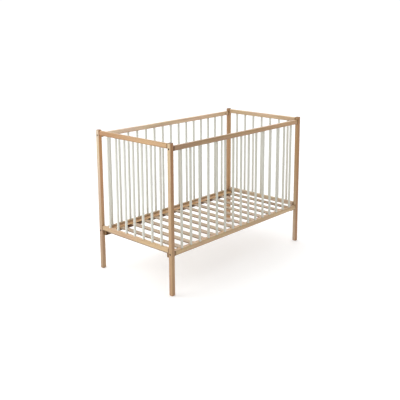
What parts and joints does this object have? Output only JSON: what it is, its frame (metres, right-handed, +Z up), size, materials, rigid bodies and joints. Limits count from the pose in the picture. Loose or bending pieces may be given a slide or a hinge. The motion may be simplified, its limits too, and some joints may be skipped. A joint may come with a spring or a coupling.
{
  "type": "baby crib",
  "caption": "Free-standing wooden crib: four square posts, rounded rails, upright round bars on all sides and a low slatted base.",
  "frame": {"origin": "on the floor under the middle of the crib: the centre of the underside of the bounding box", "axes": "+Z up; X runs along the crib's length, with +X towards the right-hand end seen from the front; Y runs across its width, with +Y towards the back side"},
  "size_m": [1.25, 0.65, 0.89],
  "materials": {
    "beech": "clear satin lacquer over oiled beech",
    "spindle_paint": "white satin paint on turned beech",
    "slat_wood": "sanded, uncoated laminated hardwood",
    "dowel_wood": "fluted beech dowel, uncoated",
    "bolt_steel": "dark burnished steel",
    "zinc_steel": "zinc plated",
    "bracket_steel": "zinc plated pressed steel"
  },
  "bodies": {
    "root": {"back_base_beam": "beech", "back_bottom_rail": "beech", "back_spindles": "spindle_paint", "back_top_rail": "beech", "barrel_nuts": "zinc_steel", "beam_screws": "zinc_steel", "bracket_back_left": "bracket_steel", "bracket_back_right": "bracket_steel", "bracket_beam_screws": "zinc_steel", "bracket_front_left": "bracket_steel", "bracket_front_right": "bracket_steel", "bracket_post_screws": "zinc_steel", "front_base_beam": "beech", "front_bottom_rail": "beech", "front_spindles": "spindle_paint", "front_top_rail": "beech", "left_bottom_rail": "beech", "left_spindle_1": "spindle_paint", "left_spindle_2": "spindle_paint", "left_spindle_3": "spindle_paint", "left_spindle_4": "spindle_paint", "left_spindle_5": "spindle_paint", "left_spindle_6": "spindle_paint", "left_spindle_7": "spindle_paint", "left_top_rail": "beech", "locating_dowels": "dowel_wood", "post_back_left": "beech", "post_back_right": "beech", "post_front_left": "beech", "post_front_right": "beech", "right_bottom_rail": "beech", "right_spindle_1": "spindle_paint", "right_spindle_2": "spindle_paint", "right_spindle_3": "spindle_paint", "right_spindle_4": "spindle_paint", "right_spindle_5": "spindle_paint", "right_spindle_6": "spindle_paint", "right_spindle_7": "spindle_paint", "right_top_rail": "beech", "side_bolts": "bolt_steel", "slat_01": "slat_wood", "slat_02": "slat_wood", "slat_03": "slat_wood", "slat_04": "slat_wood", "slat_05": "slat_wood", "slat_06": "slat_wood", "slat_07": "slat_wood", "slat_08": "slat_wood", "slat_09": "slat_wood", "slat_10": "slat_wood", "slat_11": "slat_wood", "slat_12": "slat_wood", "slat_13": "slat_wood", "slat_screws": "zinc_steel"}
  },
  "joints": []
}
